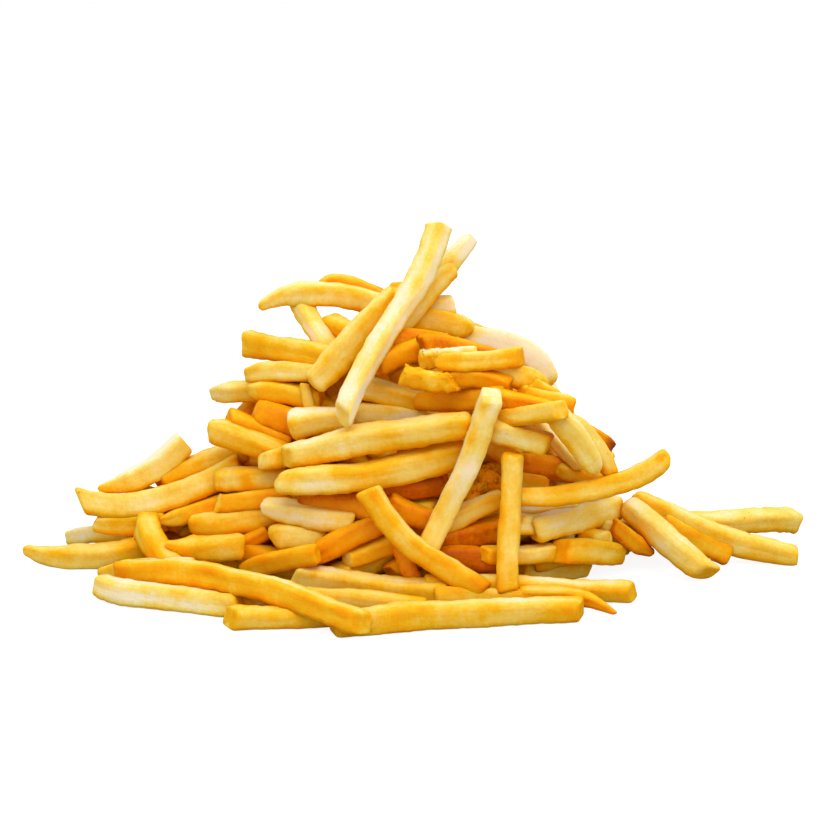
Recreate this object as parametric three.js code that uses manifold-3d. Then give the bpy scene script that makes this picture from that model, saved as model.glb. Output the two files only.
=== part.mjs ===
// A heap of French fries as it lies on a table, fused into one solid: a mound of buried fries,
// a first layer that shows between the others, the fries that are seen from the front, and the
// last ones on its sides, back and top. Millimetres, +Z up, the table is z = 0 and the origin
// is under the middle of the heap. The long way of the heap is along X and its front faces -Y.

import * as THREE from 'three';
import { mergeVertices } from 'three/addons/utils/BufferGeometryUtils.js';
import Module from 'manifold-3d';

const wasm = await Module();
wasm.setup();

const UP = new THREE.Vector3(0, 0, 1);

// The heap is laid out as it is seen from the front. Each fry has its place on an upright
// picture plane, [across, up] from the foot of the heap. It comes to lie where it first touches
// the table, the mound or a fry that lies already, going away along the line of sight.
const FRONT = {
  azimuth: 0,
  pitch: 15,                    // degrees that the eye looks down
  distance: 650,
  foot: [0, 0, 0],
  axis: [2.9, 46.8],            // where the eye's own line meets the picture plane
  back: 34,                     // the fries seen from the front lie no farther back than this
};

// The middle of the laid heap on the table, which the whole is moved by at the end
const HEAP_MIDDLE = new THREE.Vector3(3.7, 6.2, 0);

// The mound: half balloons standing on the table, with their middles and half sizes
const MOUND = {
  peak: { middle: [-4, 28], half: [64, 34, 76] },
  shoulder: { middle: [-1, 24], half: [68, 45, 50] },
  foot: { middle: [-2, 24], half: [74, 48, 26] },
  leftWing: { middle: [-76, 14], half: [28, 24, 21] },
  rightWing: { middle: [64, 16], half: [20, 22, 15] },
};
const SINK = 7;                 // how deep in the mound the first layer lies
const MOUND_SIDES = [10, 6];    // faces round and up each balloon

// How a fry comes to rest: a row of balls stands for it while it is laid
const BALL_STEP = 3;
const BALL_SHARE = 0.36;        // ball radius against the width that shows
const BURIED_SHARE = 0.2;       // of that, where the fry goes on under later ones
const COVER_SHARE = 0.45;       // a place this near a later fry's middle line is under it
const STEEPEST = 1;             // most that a fry leans away, depth against length
const LEAN_STEPS = 20;
const BALANCE = 0.45;           // a fry tips where it is held farther out than this share of its half

// A fry's own shape
const SEGMENTS = 3;             // along a fry that shows
const PLAIN_SEGMENTS = 2;       // along one of the first layer
const TIP_SHARE = 0.28;         // thickness at the end of a tapering tip, against the middle
const TIP_LENGTH = 0.42;        // of the fry's length
const ROUND_SHARE = 0.72;       // thickness at a rounded end
const SQUARE_SHARE = 0.94;      // thickness at a cut end
const ROLL = 12;                // degrees that a fry may lie turned about its length
const UPRIGHT = 0.8;            // a fry steeper than this turns a face to the front, not up
const GOLDEN = 0.61803398875;   // the step that spreads the rolls evenly

// Fries of no special place, each laid as an eye square to the mound sees it
const FIRST = {
  fries: 60,
  tries: 4000,
  facing: [0, 360],             // degrees round the heap from its right side, over its back
  rise: [0.05, 0.96],           // height on the mound
  length: [36, 66],
  slant: 60,                    // degrees from level
  off: 3,                       // farthest out from the mound
};
const LAST = {
  fries: 40,
  tries: 4000,
  facing: [-35, 215],
  rise: [0.08, 0.97],
  length: [44, 88],
  slant: 65,
  off: 13,
};
const ANY = {
  distance: 600,
  pitch: [18, 80],
  width: [6.8, 9],
  bow: 4,
  ends: ['ss', 'sr', 'rs', 'st', 'ss', 'sr', 'ts'],
};
const PEAK_MORE = 2;            // times more than the others that the peak is drawn
const SEED = 20;

const UNDER_TABLE = [400, 300, 100];    // block that is cut away below the table

// The fries that show from the front, from back to front:
// name, from, over and to on the picture plane, width as it shows, how its two ends are
// (s square, b square and browned, p square and pale, r round, t tapering, x a dark tip),
// and how it leans away where it doesn't simply tip.

// Crown, back to front
const crown = [
  ['pale_shoulder', [14, 74.5], [34, 70.5], [44, 59], 8.6, 'rr'],
  ['hump_behind', [-28.5, 88.5], [-20.5, 90.5], [-5, 83.5], 7.0, 'rs'],
  ['crown_prop', [-37, 87.5], [-32.5, 79], [-24, 67], 7.2, 'ss'],
  ['crown_wing', [-49, 84], [-30, 88.5], [-5.5, 82.5], 6.9, 'ts'],
  ['crown_tab', [-3.5, 86], [6, 84], [14, 84], 6.6, 'sb'],
  ['crown_stub', [-9, 78.5], [7, 78.5], [19.5, 76], 7.6, 'rb'],
  ['forked_back', [19, 105], [9.5, 94], [-3, 78.5], 6.4, 'rs'],
  ['forked_front', [14, 96], [3.5, 85], [-9, 70.5], 6.6, 'rs'],
  ['wedge_under_wing', [-26, 78], [-18.5, 74.5], [-7.5, 69.5], 7.2, 'ss'],
  ['brown_square', [-53, 71], [-40.5, 69.5], [-21, 65.5], 7.6, 'ss'],
  ['hollow_a', [-10.5, 70.5], [-2.5, 72.5], [11, 70.5], 7.4, 'ss'],
  ['hollow_b', [-11.5, 64], [-3, 68], [8, 71], 7.4, 'ss'],
  ['under_stub', [3, 70.5], [14.5, 70.5], [32.5, 65], 6.4, 'ss'],
  ['shoulder_two', [19, 64.5], [32.5, 61.5], [44, 57], 7.6, 'sr'],
  ['shoulder_tip', [38.5, 58.5], [43, 56], [47, 54], 5.6, 'ss'],
  ['shoulder_end', [35, 55], [44, 53], [52.5, 50.5], 6.6, 'sb'],
  ['hollow_c', [10, 60], [21, 60.5], [32.5, 57.5], 6.8, 'ss'],
  ['rough_bit', [2.5, 66.5], [9.5, 67.5], [21.5, 68.5], 6.6, 'rs'],
  ['square_shoulder', [8, 66], [22, 66], [35.5, 67], 6.8, 'rb'],
  ['rough_stub', [-3, 61.5], [6, 59], [14.5, 58.5], 6.4, 'ss'],
  ['under_square', [-53, 61.5], [-43, 62.5], [-27, 61.5], 6.4, 'rs'],
  ['left_flap', [-63, 55], [-55, 57], [-27, 57], 6.2, 'ts'],
  ['left_ridge', [-52, 56.5], [-43.5, 56], [-28.5, 53], 6.6, 'rs'],
  ['left_deep', [-50.5, 49.5], [-43, 47.5], [-28, 45], 9.0, 'rs'],
  ['brown_corner', [-59, 47], [-51.5, 44.5], [-38.5, 39.5], 6.6, 'ss'],
  ['crown_lean', [-30.5, 60], [-19, 72], [-4.5, 88.5], 8.4, 'rs'],
  ['crumb_prop', [-34, 58.5], [-33, 53], [-31.5, 45.5], 4.8, 'ss'],
  ['neck_a', [-19, 58.5], [-9.5, 56], [5.5, 51.5], 7.6, 'ss'],
  ['neck_b', [-21, 48.5], [-8.5, 48.5], [9.5, 45], 7.2, 'rs'],
  ['round_end', [-39.5, 45.5], [-32, 46.5], [-18.5, 47], 8.6, 'rs'],
];

// Left wing
const leftWing = [
  ['floor_left', [-125, 5], [-104, 2.5], [-81, 7], 8.4, 'ts'],
  ['left_thin', [-110.5, 8.5], [-99.5, 10], [-83.5, 10.5], 5.2, 'rs'],
  ['left_low', [-102, 14], [-93, 13.5], [-78.5, 15], 7.0, 'rs'],
  ['left_second', [-81, 26], [-69.5, 32], [-53, 37], 7.6, 'ss'],
  ['left_long', [-107, 21], [-82.5, 20.5], [-55, 32.5], 8.0, 'ts'],
  ['left_raised', [-101, 24.5], [-87, 28.5], [-74, 38.5], 8.0, 'tr'],
  ['left_brown', [-81.5, 14], [-72.5, 16], [-59.5, 21], 6.4, 'ts'],
  ['left_broad', [-65, 43.5], [-56, 41.5], [-39.5, 34.5], 8.4, 'rs'],
  ['notched', [-63.5, 27], [-54.5, 27.5], [-38.5, 28], 7.6, 'rs'],
  ['short_square', [-62.5, 20.5], [-54.5, 20.5], [-39.5, 22], 5.8, 'ps'],
  ['left_cream', [-85.5, 12.5], [-82, 6], [-71, -6.5], 6.8, 'ss'],
  ['scoop', [-71.5, 13], [-60.5, 13.5], [-44, 16.5], 7.6, 'rs'],
  ['scoop_tail', [-59, 5.5], [-53.5, 7.5], [-46, 11], 4.6, 'ts'],
  ['flat_gold', [-77.5, 6.5], [-67.5, 5], [-54, 6], 8.2, 'ss'],
];

// Heart of the heap, the deep ones first
const heart = [
  ['deep_a', [-37, 21.5], [-24, 20.5], [-10.5, 17], 7.6, 'ss'],
  ['deep_b', [-10, 27], [-0.5, 25.5], [11.5, 28], 7.6, 'ss'],
  ['deep_c', [-7.5, 21.5], [0, 16.5], [11.5, 13], 7.4, 'ss'],
  ['deep_d', [35, 32], [44, 31.5], [59.5, 28.5], 8.0, 'ss'],
  ['deep_e', [8, 7], [19, 9.5], [33, 12.5], 7.4, 'ss'],
  ['deep_f', [5.5, 1.5], [17.5, 2], [30, 0.5], 7.4, 'ss'],
  ['deep_g', [47, 31], [54, 29], [63, 27], 5.6, 'rs'],
  ['deep_h', [24, 40.5], [29.5, 36.5], [35, 33], 7.4, 'ss'],
  ['crusty', [26.5, 31.5], [23, 25.5], [17.5, 19], 8.0, 'rs'],
  ['cream_side', [8.5, 11], [17.5, 17], [30, 22], 6.6, 'rs'],
  ['band_left', [3, 52.5], [15, 53.5], [31.5, 55], 7.0, 'ss'],
  ['band_right', [24, 54.5], [36, 52.5], [49.5, 48.5], 6.2, 'ss'],
];

// Right wing
const rightWing = [
  ['red_end', [45, 48.5], [58.5, 41.5], [63.5, 38.5], 5.0, 'sx'],
  ['fan_a', [50, 47.5], [58.5, 39.5], [65, 28.5], 7.6, 'rr'],
  ['fan_b', [45.5, 50.5], [53.5, 40.5], [59.5, 29.5], 7.6, 'rr'],
  ['fan_c', [41, 46.5], [47.5, 39], [54.5, 31.5], 5.6, 'sr'],
  ['over_stub', [28.5, 47], [37.5, 48.5], [48.5, 50], 5.8, 'ss'],
  ['pointing_stub', [23.5, 44], [34, 42], [44.5, 38.5], 7.8, 'rs'],
  ['floor_shade', [35, -2.5], [47, -2], [57.5, -1.5], 5.4, 'ss'],
  ['shade_band', [39.5, 0.5], [52, 3.5], [63, 6.5], 6.8, 'ss'],
  ['tuck_a', [23.5, 3], [36, 3.5], [46, 4.5], 6.0, 'sb'],
  ['tuck_b', [33, 14], [42.5, 13.5], [51.5, 10.5], 6.2, 'sr'],
  ['tuck_c', [32.5, 18], [42.5, 18.5], [54, 19.5], 5.0, 'ss'],
  ['low_curl', [48, 4.5], [59.5, 4], [68, 4], 7.4, 'sr'],
  ['low_cap', [59.5, 11.5], [65, 11], [69.5, 7.5], 6.6, 'rr'],
  ['end_on', [54, 10.5], [58.5, 9], [62.5, 8], 5.8, 'sp'],
  ['cream_broad', [39, 11], [56, 16], [66, 18.5], 7.8, 'ss'],
  ['right_flat', [72, 13.5], [107.5, 14], [124, 15], 7.8, 'sb'],
  ['right_long', [71.5, 22.5], [95, 11.5], [124.5, 3], 7.2, 'rb'],
  ['right_gold', [80.5, 14], [92.5, 7.5], [102, 3], 7.4, 'sb'],
  ['dark_heel', [65, 12.5], [72, 7.5], [78.5, 4], 5.4, 'st'],
  ['right_cream', [69.5, 20.5], [81.5, 9.5], [95.5, -2.5], 8.2, 'rs'],
  ['right_tusk', [83, 36], [63, 26], [33, 22.5], 6.6, 'ts'],
];

// Heap front
const face = [
  ['lower_bar', [-43.5, 26.5], [-14, 29], [17, 37], 8.4, 'rs'],
  ['upper_bar_back', [-48.5, 33], [-39.5, 35], [-21.5, 38], 7.2, 'rs'],
  ['upper_bar', [-40.5, 34.5], [-11.5, 41], [19.5, 45.5], 8.8, 'sr'],
  ['crown_mast', [9.5, 109.5], [-6, 78.5], [-22.5, 45.5], 7.9, 'ss', -0.3],
  ['low_gold', [-45.5, 9], [-37.5, 9], [-28, 8], 7.0, 'rs'],
  ['thick_gold', [-48, 19], [-34, 16], [-18.5, 14], 8.0, 'rs'],
  ['pair_back', [-32, 3], [-21, 8.5], [-7.5, 14], 7.0, 'rs'],
  ['pair_front', [-21, 2], [-12.5, 4.5], [-1, 8.5], 6.6, 'ps'],
  ['brown_peg', [-5.5, 10], [-2.5, 2.5], [1.5, -5], 5.4, 'ss'],
  ['diagonal', [26.5, 55], [17, 30], [3.5, 1.5], 7.6, 'ss'],
];

// On the table, in front
const table = [
  ['shade_bar', [-53, -2.5], [-43.5, 1], [-30, 3.5], 6.4, 'ss'],
  ['back_cheek', [-100, -3.5], [-88, -0.5], [-70.5, -0.5], 5.2, 'ss'],
  ['floor_pale', [-101, -5], [-82.5, -9.5], [-54, -12.5], 7.4, 'rs'],
  ['floor_block', [-58.5, -17], [-42.5, -16.5], [-20.5, -15], 7.6, 'ss'],
  ['floor_tail', [71.5, -8.5], [38.5, -7], [4, -5], 6.6, 'ss'],
  ['floor_spur', [35, -8.5], [52.5, -9.5], [66, -15], 5.2, 'st'],
  ['floor_bar', [-25.5, -20], [14.5, -16], [55, -15], 7.7, 'sb'],
  ['floor_cross', [-88.5, -2], [-53, -6], [-16, -19], 7.6, 'ss'],
  ['floor_ridge', [-37, -2.5], [-13, -7.5], [13, -9.5], 6.8, 'ss'],
  ['crossing', [-14, 24.5], [0.5, 6.5], [24, -8.5], 7.6, 'sb'],
  ['upright', [33, 36], [31.5, 13], [31.5, -9.5], 7.2, 'sb'],
];

function makeEye({ azimuth, pitch, distance, foot, axis, back }) {
  const turn = THREE.MathUtils.degToRad(azimuth);
  const fall = THREE.MathUtils.degToRad(pitch);
  const right = new THREE.Vector3(Math.cos(turn), Math.sin(turn), 0);
  const level = new THREE.Vector3(-Math.sin(turn), Math.cos(turn), 0);
  const forward = level.clone().multiplyScalar(Math.cos(fall)).addScaledVector(UP, -Math.sin(fall));
  const up = level.clone().multiplyScalar(Math.sin(fall)).addScaledVector(UP, Math.cos(fall));
  return { right, up, forward, distance, foot: new THREE.Vector3(...foot), axis, back };
}

// The point seen at (across, up) that lies deeper than the picture plane by depth
function place(eye, across, up, depth) {
  const grow = depth / eye.distance;
  return eye.foot.clone()
    .addScaledVector(eye.right, across + grow * (across - eye.axis[0]))
    .addScaledVector(eye.up, up + grow * (up - eye.axis[1]))
    .addScaledVector(eye.forward, depth);
}

// Where a ball shows on an eye's picture plane
function look(eye, { middle, radius }) {
  const away = middle.clone().sub(eye.foot);
  const depth = away.dot(eye.forward);
  const shrink = 1 / (1 + depth / eye.distance);
  const across = eye.axis[0] + (away.dot(eye.right) - eye.axis[0]) * shrink;
  const up = eye.axis[1] + (away.dot(eye.up) - eye.axis[1]) * shrink;
  return { across, up, depth, radius: radius * shrink };
}

// The line of sight at (across, up): where it crosses the picture plane, and its way per depth
function sight(eye, across, up) {
  const start = place(eye, across, up, 0);
  return { start, ray: place(eye, across, up, 1).sub(start) };
}

// A fry's middle line on the picture plane: the parabola through its three points
function bend({ from, over, to }, share) {
  const near = (1 - share) * (1 - 2 * share);
  const mid = 4 * share * (1 - share);
  const far = share * (2 * share - 1);
  return [0, 1].map((side) => near * from[side] + mid * over[side] + far * to[side]);
}

function spanOf({ from, to }) {
  return Math.hypot(to[0] - from[0], to[1] - from[1]);
}

// The even steps along a fry, 0 to 1
function stepsAlong(fry) {
  const steps = Math.max(3, Math.round(spanOf(fry) / BALL_STEP));
  return Array.from({ length: steps + 1 }, (_, step) => step / steps);
}

function endShare(kind) {
  if (kind === 't') {
    return TIP_SHARE;
  }
  return kind === 'r' ? ROUND_SHARE : SQUARE_SHARE;
}

// Thickness along a fry, against its middle
function girth({ ends }, share) {
  const kind = share < 0.5 ? ends[0] : ends[1];
  const taper = kind === 't' ? TIP_LENGTH : 1 / SEGMENTS;
  const least = endShare(kind);
  return least + (1 - least) * Math.min(1, Math.min(share, 1 - share) / taper);
}

// First root of a x^2 + 2 b x + c = 0, or infinity where the line goes past
function firstTouch(a, b, c) {
  const inside = b * b - a * c;
  return inside > 0 ? (-b - Math.sqrt(inside)) / a : Infinity;
}

// How deep a line of sight meets the mound, swelled by more
function reachMound({ start, ray }, more) {
  return Math.min(...Object.values(MOUND).map(({ middle, half }) => {
    const scale = new THREE.Vector3(...half.map((size) => 1 / (size + more)));
    const from = new THREE.Vector3(start.x - middle[0], start.y - middle[1], start.z).multiply(scale);
    const way = ray.clone().multiply(scale);
    return firstTouch(way.lengthSq(), way.dot(from), from.lengthSq() - 1);
  }));
}

// How deep a ball seen at (across, up) can go
function reach(eye, across, up, radius, balls) {
  const line = sight(eye, across, up);
  const { start, ray } = line;
  const swell = radius / eye.distance;
  let deepest = Math.min((start.z - radius) / (swell - ray.z), reachMound(line, radius - SINK));
  if (eye.back) {
    deepest = Math.min(deepest, (eye.back - start.y) / ray.y);
  }
  const slant = ray.lengthSq() - swell * swell;
  for (const ball of balls) {
    const from = start.clone().sub(ball.middle);
    const together = radius + ball.radius;
    const square = from.lengthSq() - together * together;
    deepest = Math.min(deepest, firstTouch(slant, ray.dot(from) - together * swell, square));
  }
  return deepest;
}

// Whether a place on the picture plane is behind one of these fries
function isCovered(spot, fries) {
  return fries.some((fry) => stepsAlong(fry).some((share) => {
    const other = bend(fry, share);
    return Math.hypot(spot[0] - other[0], spot[1] - other[1]) < fry.width * COVER_SHARE;
  }));
}

// Lays one fry: it tips about what holds it, as far as that lets it sink
function settle(eye, fry, balls, later = []) {
  const span = spanOf(fry);
  const shares = stepsAlong(fry);
  const radii = shares.map((share) => fry.width * BALL_SHARE * girth(fry, share));
  const limits = shares.map((share, step) => {
    const spot = bend(fry, share);
    const radius = radii[step] * (isCovered(spot, later) ? BURIED_SHARE : 1);
    return reach(eye, ...spot, radius, balls);
  });
  let best = { score: -Infinity };
  for (let step = -LEAN_STEPS; step <= LEAN_STEPS; step += 1) {
    const lean = fry.lean ?? STEEPEST * step / LEAN_STEPS;
    const depth = Math.min(...shares.map((share, spot) => limits[spot] - lean * (share - 0.5) * span));
    const score = depth - BALANCE * Math.abs(lean) * span / 2;
    if (score > best.score) {
      best = { score, lean, depth };
    }
  }
  const depthAt = (share) => best.depth + best.lean * (share - 0.5) * span;
  const at = (share) => place(eye, ...bend(fry, share), depthAt(share));
  const laidBalls = shares.map((share, step) => (
    { middle: at(share), radius: radii[step] * (1 + depthAt(share) / eye.distance) }
  ));
  return { ...fry, eye, at, balls: laidBalls, swell: 1 + best.depth / eye.distance };
}

// Seeded draws between two values, the same each time (a Lehmer generator)
let seed = SEED;
function draw(low, high) {
  const factor = 16807;
  const modulus = 2147483647;
  seed = (seed * factor) % modulus;
  return low + (high - low) * seed / modulus;
}

// A fry of no special place on the mound, and the eye that sees it square
function anyFry(layer, number) {
  const lobes = Object.values(MOUND);
  const lobe = lobes[Math.max(0, Math.floor(draw(-PEAK_MORE, lobes.length)))];
  const turn = THREE.MathUtils.degToRad(draw(...layer.facing));
  const rise = draw(...layer.rise);
  const round = Math.sqrt(1 - rise * rise);
  const out = [Math.cos(turn) * round, Math.sin(turn) * round, rise];
  const foot = out.map((share, side) => share * lobe.half[side] + (lobe.middle[side] ?? 0));
  const square = out.map((share, side) => share / lobe.half[side]);
  const azimuth = THREE.MathUtils.radToDeg(Math.atan2(square[0], -square[1]));
  const steep = THREE.MathUtils.radToDeg(Math.atan2(square[2], Math.hypot(square[0], square[1])));
  const pitch = THREE.MathUtils.clamp(steep, ...ANY.pitch);
  const eye = makeEye({ azimuth, pitch, distance: ANY.distance, foot, axis: [0, 0] });
  const slant = THREE.MathUtils.degToRad(layer.slant) * draw(-1, 1);
  const half = draw(...layer.length) / 2;
  const bow = ANY.bow * draw(-1, 1);
  const width = draw(...ANY.width);
  const point = (along, off) => [
    Math.cos(slant) * along - Math.sin(slant) * off,
    Math.sin(slant) * along + Math.cos(slant) * off,
  ];
  const ends = ANY.ends[number % ANY.ends.length];
  return { eye, fry: { from: point(-half, 0), over: point(0, bow), to: point(half, 0), width, ends } };
}

// Whether a ball's middle is no farther out than off from the mound
function isNear({ middle: { x, y, z } }, off) {
  return Object.values(MOUND).some(({ middle, half }) => (
    Math.hypot((x - middle[0]) / (half[0] + off), (y - middle[1]) / (half[1] + off), z / (half[2] + off)) < 1
  ));
}

// Lays fries of a layer until there are enough of those that pass a test from the front
function layLayer(layer, balls, test) {
  const laid = [];
  for (let tries = 0; tries < layer.tries && laid.length < layer.fries; tries += 1) {
    const { eye, fry } = anyFry(layer, tries);
    const rested = settle(eye, fry, balls);
    if (rested.balls.every((ball) => isNear(ball, layer.off) && holdsRound(ball, test))) {
      balls.push(...rested.balls);
      laid.push(rested);
    }
  }
  return laid;
}

// Whether a test holds at the middle of a ball and round it, at the fry's full width
function holdsRound(ball, test) {
  const { across, up, depth, radius } = look(front, ball);
  const off = radius / BALL_SHARE / 2;
  const rim = [[0, 0], [off, 0], [-off, 0], [0, off], [0, -off]];
  return rim.every(([right, rise]) => test(across + right, up + rise, depth));
}

// A fry as a box of four long faces, bent along its line
function frySolid(fry, number, segments) {
  const nearby = 0.02;
  const direction = (share) => fry.at(share + nearby).sub(fry.at(share - nearby)).normalize();
  const middle = direction(0.5);
  const facing = fry.eye.forward.clone().negate();
  const turned = Math.abs(middle.z) < UPRIGHT ? UP : facing;
  const roll = THREE.MathUtils.degToRad(ROLL) * (2 * ((number * GOLDEN) % 1) - 1);
  const top = turned.clone().addScaledVector(middle, -turned.dot(middle)).normalize();
  top.applyAxisAngle(middle, roll);
  const side = new THREE.Vector3().crossVectors(top, middle);
  const acrossView = new THREE.Vector3().crossVectors(middle, facing).normalize();
  const diagonal = Math.abs(top.dot(acrossView)) + Math.abs(side.dot(acrossView));
  const thick = fry.width * fry.swell / diagonal;
  const geometry = new THREE.BoxGeometry(1, 1, 1, segments, 1, 1);
  const corners = geometry.attributes.position;
  for (let index = 0; index < corners.count; index += 1) {
    const share = corners.getX(index) + 0.5;
    const size = thick * girth(fry, share);
    const along = direction(share);
    const ringTop = top.clone().addScaledVector(along, -top.dot(along)).normalize();
    const ringSide = new THREE.Vector3().crossVectors(ringTop, along);
    const corner = fry.at(share)
      .addScaledVector(ringSide, size * corners.getY(index))
      .addScaledVector(ringTop, size * corners.getZ(index))
      .sub(HEAP_MIDDLE);
    corners.setXYZ(index, corner.x, corner.y, corner.z);
  }
  return toSolid(geometry);
}

function moundSolid({ middle, half }) {
  const geometry = new THREE.SphereGeometry(1, ...MOUND_SIDES);
  geometry.rotateX(Math.PI / 2);
  geometry.scale(...half.map((size) => size - SINK));
  geometry.translate(middle[0] - HEAP_MIDDLE.x, middle[1] - HEAP_MIDDLE.y, 0);
  return toSolid(geometry);
}

function toSolid(geometry) {
  geometry.deleteAttribute('normal');
  geometry.deleteAttribute('uv');
  const merged = mergeVertices(geometry);
  const vertProperties = new Float32Array(merged.attributes.position.array);
  const triVerts = new Uint32Array(merged.index.array);
  return new wasm.Manifold(new wasm.Mesh({ numProp: 3, vertProperties, triVerts }));
}

// The outer skin alone: a hollow that fusing seals is filled, and a loose scrap is left out
function outerSkin({ vertProperties, triVerts }) {
  const parent = Uint32Array.from({ length: vertProperties.length / 3 }, (_, corner) => corner);
  const rootOf = (corner) => {
    let root = corner;
    while (parent[root] !== root) {
      parent[root] = parent[parent[root]];
      root = parent[root];
    }
    return root;
  };
  for (let corner = 0; corner < triVerts.length; corner += 3) {
    parent[rootOf(triVerts[corner + 1])] = rootOf(triVerts[corner]);
    parent[rootOf(triVerts[corner + 2])] = rootOf(triVerts[corner]);
  }
  const counts = new Map();
  triVerts.forEach((corner) => counts.set(rootOf(corner), (counts.get(rootOf(corner)) ?? 0) + 1));
  const roots = [...counts.keys()];
  const largest = roots.reduce((best, root) => (counts.get(root) > counts.get(best) ? root : best));
  const geometry = new THREE.BufferGeometry();
  geometry.setAttribute('position', new THREE.BufferAttribute(vertProperties, 3));
  geometry.setIndex([...triVerts].filter((corner) => rootOf(corner) === largest));
  return geometry;
}

// ---- laying the heap ----
const front = makeEye(FRONT);
const balls = [];
const shown = [crown, leftWing, heart, rightWing, face, table].flat()
  .map(([name, from, over, to, width, ends, lean]) => ({ name, from, over, to, width, ends, lean }));

const firstLayer = layLayer(FIRST, balls, (across, up) => (
  reachMound(sight(front, across, up), 0) < Infinity || isCovered([across, up], shown)
));

const screen = [];
const shownFries = shown.map((fry, number) => {
  const rested = settle(front, fry, balls, shown.slice(number + 1));
  balls.push(...rested.balls);
  screen.push(...rested.balls.map((ball) => look(front, ball)));
  return rested;
});

const lastLayer = layLayer(LAST, balls, (across, up, depth) => (
  reachMound(sight(front, across, up), 0) < depth || screen.some((other) => (
    other.depth < depth && Math.hypot(across - other.across, up - other.up) < other.radius / BALL_SHARE / 2
  ))
));

// ---- fusing it ----
const [peak, ...lobes] = Object.values(MOUND).map(moundSolid);
const pieces = [
  ...lobes,
  ...firstLayer.map((fry, number) => frySolid(fry, number, PLAIN_SEGMENTS)),
  ...[...shownFries, ...lastLayer].map((fry, number) => frySolid(fry, number, SEGMENTS)),
];
const underTable = new THREE.BoxGeometry(...UNDER_TABLE).translate(0, 0, -UNDER_TABLE[2] / 2);
const heap = pieces.reduce((whole, piece) => whole.add(piece), peak).subtract(toSolid(underTable));

const friedPotato = new THREE.MeshStandardMaterial({ color: 0xecb648, roughness: 0.45, metalness: 0 });
const mesh = new THREE.Mesh(outerSkin(heap.getMesh()), friedPotato);
mesh.name = 'fries_heap';

const group = new THREE.Group();
group.add(mesh);

export default group;
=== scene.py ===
import math
import bpy
import numpy as np
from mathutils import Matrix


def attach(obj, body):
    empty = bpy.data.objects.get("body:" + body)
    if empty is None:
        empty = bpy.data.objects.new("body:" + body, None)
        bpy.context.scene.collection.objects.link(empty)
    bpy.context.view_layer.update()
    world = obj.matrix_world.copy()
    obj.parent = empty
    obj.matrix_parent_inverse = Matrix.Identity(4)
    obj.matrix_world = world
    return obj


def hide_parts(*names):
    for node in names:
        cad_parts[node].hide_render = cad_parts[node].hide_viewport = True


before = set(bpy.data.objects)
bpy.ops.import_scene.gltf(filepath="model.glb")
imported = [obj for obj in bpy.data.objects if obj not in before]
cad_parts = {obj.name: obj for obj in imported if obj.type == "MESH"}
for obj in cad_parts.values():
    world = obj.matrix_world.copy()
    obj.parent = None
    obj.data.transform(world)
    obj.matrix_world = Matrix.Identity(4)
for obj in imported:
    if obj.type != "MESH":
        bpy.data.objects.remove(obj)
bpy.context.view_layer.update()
mm = 0.001

# The heap as it is seen from the front: places are (across, up) on an upright picture plane
# through its foot, and a fry goes back along the line of sight until it touches something
frontView = dict(azimuth=0, pitch=15, distance=650, foot=(0, 0, 0), axis=(2.9, 46.8), back=34)
heapMiddle = np.array((3.7, 6.2, 0))
pictureWidth = 271  # mm on the picture plane from side to side

# The mound of buried fries: half balloons on the table, (middle, half sizes)
mound = {
    "peak": ((-4, 28), (64, 34, 76)),
    "shoulder": ((-1, 24), (68, 45, 50)),
    "foot": ((-2, 24), (74, 48, 26)),
    "leftWing": ((-76, 14), (28, 24, 21)),
    "rightWing": ((64, 16), (20, 22, 15)),
}
sink = 7  # how deep in the mound the first layer lies

laying = {
    "ballStep": 3,  # a row of balls stands for a fry while it is laid
    "ballShare": 0.36,
    "buriedShare": 0.2,
    "coverShare": 0.45,
    "steepest": 1,
    "leanSteps": 20,
    "balance": 0.45,
    "margin": 12,
}
# a fry's thickness at an end, against its middle, and over which share of its length it grows
girths = {"t": (0.28, 0.42), "r": (0.72, 1 / 3), "s": (0.94, 1 / 3)}
seeds = {"laying": 20, "stuffing": 5, "shapes": 7, "wander": 19}

firstLayer = dict(fries=60, tries=4000, facing=(0, 360), rise=(0.05, 0.96), length=(36, 66),
                  slant=60, off=3)
lastLayer = dict(fries=40, tries=4000, facing=(-35, 215), rise=(0.08, 0.97), length=(44, 88),
                 slant=65, off=13)
shortLayer = dict(fries=60, tries=2500, facing=(-35, 215), rise=(0.03, 0.97), length=(22, 50),
                  slant=85, off=12)
anyFries = dict(distance=600, pitch=(18, 80), width=(6.8, 9), bow=4,
                ends=("ss", "sr", "rs", "st", "ss", "sr", "ts"), peakMore=2)

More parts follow.
